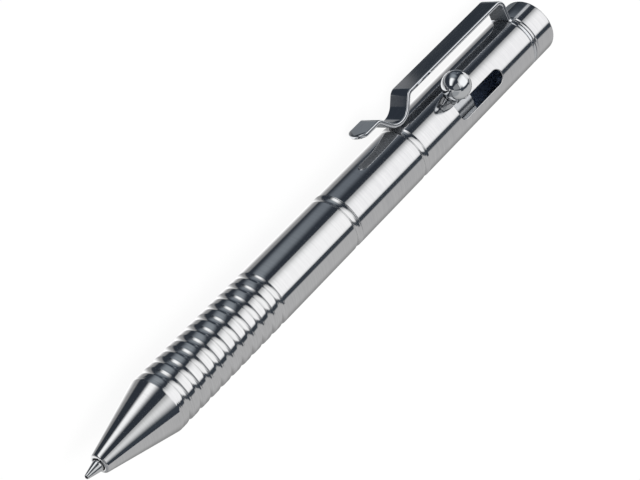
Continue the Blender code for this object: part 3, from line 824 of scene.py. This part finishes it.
def refill_point():
    """The writing point: a cone with a burnished collar, the ball's socket and the ink channel."""
    socket = writing_ball_radius + writing_ball_gap
    lip = writing_ball_radius + burnished_wall
    lip_angle = radians(-20)
    mouth = asin(ink_bore / socket)
    inner = arc(0, writing_ball_radius, socket, lip_angle, pi / 2 - mouth, steps=12)
    mesh = turned("writing_tip", [
        (point_radius, point_length),
        (point_radius, point_cone, refill_round),
        (lip, writing_ball_radius + socket * sin(lip_angle)),
        *inner,
        (ink_bore, point_length - ink_well_depth - ink_well),
        (ink_well, point_length - ink_well_depth),
        (ink_well, point_length)], turned_point, closed=True, steps=small_steps)
    finish_piece("writing_tip", mesh, "refill_point")


def writing_ball():
    ball = arc(0, writing_ball_radius, writing_ball_radius, pi / 2, -pi / 2, steps=24)
    ball[0], ball[-1] = (0, ball[0][1]), (0, ball[-1][1])
    mesh = turned("rolling_ball", ball, ground_carbide, steps=tiny_steps)
    finish_piece("rolling_ball", mesh, "writing_ball")


def refill_plug():
    """The refill's moulded end, with a vent and three notches across its face."""
    spigot = refill_radius - refill_wall - play
    flange = z_refill_end - plug_flange
    end_round, inner_round = 0.3 * MM, 0.2 * MM
    body = turned("refill_end", [
        (refill_radius, z_refill_end, end_round),
        (refill_radius, flange, small_round),
        (spigot, flange),
        (spigot, flange - plug_reach, inner_round),
        (vent_radius, flange - plug_reach),
        (vent_radius, z_refill_end)], moulded_plug, closed=True, steps=small_steps)
    tidy_mesh(body)
    tools, notch_count = [], 3
    size = Matrix.Diagonal((refill_radius * 3, end_notch_width, end_notch_depth * 2, 1))
    for i in range(notch_count):
        block = bmesh.new()
        bmesh.ops.create_cube(block, size=1.0, matrix=Matrix.Translation((0, 0, z_refill_end))
                              @ Matrix.Rotation(pi * i / notch_count, 4, "Z") @ size)
        mesh = bpy.data.meshes.new("notch")
        block.to_mesh(mesh)
        block.free()
        tools.append(mesh)
    finish_piece("refill_end", cut(body, tools), "refill_plug")


def return_spring():
    """The spring between the nose's seat and the refill's shoulder, pressed together by the bolt."""
    holder = temporary("wire_spring", bpy.data.meshes.new("wire_spring"))
    mesh = run_tree("wire_spring", holder, spring_winder, {
        "Coil Radius": coil_radius, "Wire Radius": wire_radius, "Turns": coil_turns,
        "Steps per Turn": 48.0, "First Station": z_seat + 2 * wire_radius,
        "Last Station": z_refill_shoulder - 2 * wire_radius, "Material": plated_wire})
    finish_piece("wire_spring", mesh, "return_spring")


# Clip

def clip_path():
    """The sheet's middle line, as height from the axis and station, from behind its ring to its tip."""
    middle = clip_height - sheet / 2
    low = barrel_radius + clip_touch_gap + sheet / 2
    half = (pi - arm_slope - lip_slope) / 2
    dip = low + dip_bend - dip_bend / sin(half) * cos((arm_slope - lip_slope) / 2)
    drop = middle - dip
    return rounded([(-2 * barrel_radius, z_ring),
                    (middle, z_ring, ring_bend),
                    (middle, z_touch + drop / tan(arm_slope), arm_bend),
                    (dip, z_touch, dip_bend),
                    (middle, z_touch - drop / tan(lip_slope), lip_bend),
                    (middle, z_lip_end)], steps=bend_steps)


def clip_outline(reach):
    """Outlines of the flat blank: a ring about the origin and a strip to +X with a rounded tip."""
    half, ring_steps, fillet_steps, tip_steps = clip_width / 2, 120, 8, 36
    fillet_y = half + clip_root_fillet
    fillet_x = sqrt((barrel_radius + clip_root_fillet) ** 2 - fillet_y ** 2)
    touch = atan2(fillet_y, fillet_x)
    outline = arc(0, 0, barrel_radius, touch, tau - touch, ring_steps)
    outline += arc(fillet_x, -fillet_y, clip_root_fillet, pi - touch, pi / 2, fillet_steps)
    for i in range(tip_steps + 1):
        turn = -pi / 2 + pi * i / tip_steps
        outline.append((reach - clip_tip_round + clip_tip_round * cos(turn), half * sin(turn)))
    outline += arc(fillet_x, fillet_y, clip_root_fillet, -pi / 2, touch - pi, fillet_steps)[:-1]
    hole = arc(0, 0, spigot_radius + play, tau, 0, ring_steps)[:-1]
    outline = [point for point, before in zip(outline, outline[-1:] + outline)
               if (Vector(point) - Vector(before)).length > weld]
    return [outline, hole]


def moved_in(loop, inset):
    """A closed outline moved sideways into the metal, which lies on its left."""
    moved = []
    for i, point in enumerate(loop):
        here = Vector(point)
        before = (here - Vector(loop[i - 1])).normalized()
        after = (Vector(loop[(i + 1) % len(loop)]) - here).normalized()
        left = Vector((-before.y - after.y, before.x + after.x))
        moved.append(here + left * inset / (1 + before.dot(after)))
    return moved


def clip_blank(reach):
    """The flat blank with its tumbled edges."""
    levels = []
    for k in range(edge_steps + 1):
        turn = pi / 2 * k / edge_steps
        levels.append((edge_round * (1 - cos(turn)), sheet / 2 - edge_round * (1 - sin(turn))))
    levels = [(inset, -height) for inset, height in reversed(levels)] + levels
    work = bmesh.new()
    rims = [[], []]
    for loop in clip_outline(reach):
        rows = [[work.verts.new((*point, height)) for point in moved_in(loop, inset)]
                for inset, height in levels]
        for low, high in zip(rows, rows[1:]):
            for i in range(len(loop)):
                work.faces.new((low[i - 1], low[i], high[i], high[i - 1]))
        for row, rim in ((rows[0], rims[0]), (rows[-1], rims[1])):
            rim += [work.edges.get((row[i - 1], row[i])) for i in range(len(row))]
    for rim in rims:
        bmesh.ops.triangle_fill(work, use_beauty=True, edges=rim, normal=(0, 0, 1))
    return work


def clip():
    """Spring strip with rounded stamped edges, laid along its bends, with painted shade on its inner face.
    """
    path = clip_path()
    lengths = [0.0]
    for before, after in zip(path, path[1:]):
        lengths.append(lengths[-1] + (Vector(after) - Vector(before)).length)
    start = 2 * barrel_radius
    work = clip_blank(lengths[-1] - start)
    for length in lengths[1:-1]:
        bmesh.ops.bisect_plane(work, geom=[*work.verts, *work.edges, *work.faces],
                               plane_co=(length - start, 0, 0), plane_no=(1, 0, 0), dist=weld)
    slab = bpy.data.meshes.new("clip_blank")
    work.to_mesh(slab)
    work.free()
    line = polyline("clip_path", path)
    mesh = run_tree("bent_clip", temporary("bent_clip", slab), sheet_bender, {
        "Path": line, "Path Start": start, "Material": spring_strip})
    bpy.data.objects.remove(line)
    tidy_mesh(mesh)
    mesh.materials.append(inner_face_painted_shade)
    mesh.materials.append(lip_face_lighter_painted_shade)
    half_flat = clip_width / 2 - edge_round + weld
    # The inner face looks at the barrel, and at the riser by the ring towards the tip: it takes the painted
    # shade, lighter at the lip
    facing, z_riser = -0.3, z_ring - 2 * MM
    for face in mesh.polygons:
        inner = face.normal.x < facing or (face.normal.z < facing and face.center.z > z_riser)
        if inner and face.center.x > barrel_radius and abs(face.center.y) < half_flat:
            face.material_index = 1 if face.center.z > z_touch else 2
    finish_piece("bent_clip", mesh, "clip",
                 place=lying @ Matrix.Rotation(clip_angle, 4, "Z"))


for make in (front_section, rear_barrel, tail_cap, clip, bolt_carrier, bolt_knob, return_spring,
             refill_tube, refill_point, refill_plug, writing_ball):
    make()


# Tent, table and camera

tent_radius = 300 * MM
tent_tip_end = -500 * MM
tent_tail_end = 1200 * MM
# The share of a card's light that the steel gives back
steel_shine = 0.69


def light_tent():
    """A tube round the pen that only its reflections see, with its places written as degrees and mm."""
    around, along, end_rings, pinhole = 72, 28, 6, 0.01
    # Rings as radius, place along the pen and the place written on the cloth: the tip end is closed
    rings = []
    for k in range(end_rings):
        radius = tent_radius * max(k, pinhole) / end_rings
        rings.append((radius, tent_tip_end, tent_tip_end - tent_radius + radius))
    for k in range(along + 1):
        station = tent_tip_end + (tent_tail_end - tent_tip_end) * k / along
        rings.append((tent_radius, station, station))
    angles = [tau * i / around - pi for i in range(around + 1)]
    verts = [on_barrel(radius, a, z) for radius, z, _ in rings for a in angles]
    faces, places = [], []
    for k in range(len(rings) - 1):
        for i in range(around):
            corners = [(k, i), (k + 1, i), (k + 1, i + 1), (k, i + 1)]
            faces.append([r * (around + 1) + c for r, c in corners])
            places += [(angles[c], rings[r][2]) for r, c in corners]
    mesh = bpy.data.meshes.new("light_tent")
    mesh.from_pydata(verts, [], faces)
    map_layer = mesh.uv_layers.new(name="UVMap")
    for loop, (a, z) in zip(map_layer.data, places):
        loop.uv = (degrees(a), z / MM)
    mesh.transform(lying)
    tent = temporary("light_tent", mesh)
    tent.visible_camera = tent.visible_diffuse = tent.visible_shadow = False
    tent.visible_transmission = tent.visible_volume_scatter = False
    mesh.materials.append(tent_cloth())


def bare_material(name):
    """A new material with no nodes, and its tree."""
    made = bpy.data.materials.new(name)
    made.use_nodes = True
    made.node_tree.nodes.clear()
    return made, made.node_tree


# The tent's dark floor. As on the cards, the hex is the shade that polished steel shows of the cloth.
tent_floor = "2C3138"
whole_length = (-900, 1300)
# Where a card's edge runs askew: from one station to another in mm, by so many degrees
lean = (190, 265, -13, "LINEAR")
key_slant = [(0, 110, -18, "SMOOTHSTEP"), (110, 420, -13, "LINEAR")]
flag_near = (398, 440, 11, "SMOOTHSTEP")
flag_far = [(20, 120, 4.8, "SMOOTHSTEP"), (390, 450, 14, "SMOOTHSTEP")]
# Cards, walls and flags, laid out after the reflections in the photographed pen, each in front of those
# before it: shade, sides in degrees, ends in mm and the widths of the soft edges at both. A side that runs
# askew has its runs behind its first angle.
tent_cards = [
    # Left wall: grey at its foot and white above
    ("8A8A8A", (-200, -107), whole_length, (1, 13), (1, 1)),
    ("EEEEEE", (-200, -124), whole_length, (1, 36), (1, 1)),
    # Right wall: light grey, darker towards the top, where it meets the white
    ("A8A8A8", (40, 200), whole_length, (26, 1), (1, 1)),
    ("7C7C7C", (112, 200), whole_length, (50, 1), (1, 1)),
    ("EEEEEE", (166, 200), whole_length, (18, 1), (1, 1)),
    # Beyond the tip's end the walls are lower and the middle lies open and dark
    ("8C8E90", (66, 200), (-600, -60), (8, 8), (1, 80)),
    # Grey floor beyond the tip, seen in the writing point
    ("7E8082", (-14, 54), (-600, -50), (12, 10), (1, 30)),
    # Past the tail the left wall falls away
    ("595E62", (-200, -112), (384, 1200), (1, 12), (10, 1)),
    # Grey and then dark in the clip's flat runs
    ("6E7276", (-121, -105), (290, 322), (4, 4), (10, 6)),
    ("2C3137", (-119, -104), (330, 1200), (4, 4), (6, 1)),
    # Soft bluish light above the barrel, brighter over the grip; it leans away behind the grip
    ("60666D", ((-95, lean), (-31, lean)), (110, 620), (26, 24), (60, 90)),
    ("83898E", ((-90, lean), (-30, lean)), (60, 300), (28, 26), (40, 120)),
    # Past the clip the floor falls dark, with a narrow strip of light that the cap shows as a dash
    ("31373E", (-106, -66), (388, 1200), (6, 6), (8, 1)),
    ("C0C2C4", (-67, -53), (386, 408), (3, 3), (3, 3)),
    # Fill softbox, below the tip
    ("F2F3F3", (-78, -28), (-430, 110), (16, 26), (60, 70)),
    # Key softbox: its near edge slants, jumps to grey and then rises to white across the box
    ("A3A4A4", ((-4, *key_slant), 54), (-60, 1200), (3, 18), (35, 1)),
    ("D2D3D3", ((-2, *key_slant), 54), (-60, 1200), (20, 18), (35, 1)),
    ("F1F1F1", ((-2, *key_slant), 54), (5, 520), (32, 18), (70, 50)),
    # Its far side fades near the tip
    ("30363E", (20, 70), (-30, 120), (34, 1), (20, 60)),
    # Dark flag beside it, narrower beyond the tip, and further over and wider past the tail
    ("343A41", ((45, flag_near), (62, *flag_far)), (-600, 1200), (4, 6), (1, 1))]


def card_edge(tree, station, angle, *runs):
    """The angle of a card's edge that runs askew, as it changes along the tent."""
    for first, last, turn, blend in runs:
        run = add(tree, "ShaderNodeMapRange", {
            "Value": station, "From Min": first, "From Max": last, "To Max": turn}, interpolation_type=blend)
        angle = add(tree, "ShaderNodeMath", {0: angle, 1: run}, operation="ADD")
    return angle


def card(tree, behind, place, shade, sides, ends, soft_sides, soft_ends):
    """A card of one shade in front of what is behind it, with soft edges."""
    angle, station = place.outputs["X"], place.outputs["Y"]
    sides = [card_edge(tree, station, *side) if isinstance(side, tuple) else side for side in sides]
    cover = 1.0
    for value, edges, soft in ((angle, sides, soft_sides), (station, ends, soft_ends)):
        for edge, width in zip(edges, (soft[0], -soft[1])):
            full = add(tree, "ShaderNodeMath", {0: edge, 1: width}, operation="ADD")
            mask = add(tree, "ShaderNodeMapRange", {
                "Value": value, "From Min": edge, "From Max": full}, interpolation_type="SMOOTHSTEP")
            cover = add(tree, "ShaderNodeMath", {0: cover, 1: mask}, operation="MULTIPLY")
    return add(tree, "ShaderNodeMix", {0: cover, 6: behind, 7: colour(shade)}, data_type="RGBA").outputs[2]


def tent_cloth():
    """The tent's walls and cards, laid out by degrees round the pen and mm along it."""
    made, tree = bare_material("light_tent_cards")
    uv = add(tree, "ShaderNodeUVMap", uv_map="UVMap")
    place = add(tree, "ShaderNodeSeparateXYZ", {0: uv})
    shade = colour(tent_floor)
    for cloth in tent_cards:
        shade = card(tree, shade, place, *cloth)
    light = add(tree, "ShaderNodeEmission", {"Color": shade, "Strength": 1 / steel_shine})
    add(tree, "ShaderNodeOutputMaterial", {"Surface": light})
    made.cycles.emission_sampling = "NONE"
    return made


def table():
    """A plain pale table that shows white to the camera and keeps a soft shadow."""
    half, shown_white = 3.0, 0.92
    mesh = bpy.data.meshes.new("table")
    corners = [(-half, -half, 0), (half, -half, 0), (half, half, 0), (-half, half, 0)]
    mesh.from_pydata(corners, [], [(0, 1, 2, 3)])
    thing = temporary("table", mesh)
    thing.visible_glossy = False
    made, tree = bare_material("pale_table")
    matt = add(tree, "ShaderNodeBsdfDiffuse", {"Color": colour("F4F4F4")})
    white = add(tree, "ShaderNodeEmission", {"Strength": 1.0})
    rays = add(tree, "ShaderNodeLightPath")
    seen = add(tree, "ShaderNodeMath", {0: rays.outputs["Is Camera Ray"], 1: shown_white},
               operation="MULTIPLY")
    both = add(tree, "ShaderNodeMixShader", {0: seen, 1: matt, 2: white})
    add(tree, "ShaderNodeOutputMaterial", {"Surface": both})
    mesh.materials.append(made)


def lights():
    """An even pale world and one large soft lamp overhead."""
    world = bpy.data.worlds.new("pale_room")
    world.use_nodes = True
    bpy.context.scene.world = world
    tree = world.node_tree
    tree.nodes["Background"].inputs["Color"].default_value = (1, 1, 1, 1)
    tree.nodes["Background"].inputs["Strength"].default_value = 1.0
    lamp = bpy.data.lights.new("overhead_softbox", "AREA")
    lamp.shape = "SQUARE"
    lamp.size = 0.5
    lamp.energy = 2.0
    thing = temporary("overhead_softbox", lamp)
    thing.location = (0.05, 0.1, 0.7)
    thing.visible_glossy = False


def camera():
    lens = bpy.data.cameras.new("camera")
    lens.sensor_width = 36
    lens.lens = 126.3796
    thing = temporary("camera", lens)
    thing.location = (0.23192043, -0.27849263, 0.21552397)
    thing.rotation_mode = "QUATERNION"
    thing.rotation_quaternion = Quaternion((0.21368037, 0.401798, -0.29773913, 0.83919635))
    bpy.context.scene.camera = thing


light_tent()
table()
lights()
camera()
bpy.context.scene.view_settings.view_transform = "Standard"

bpy.context.view_layer.update()
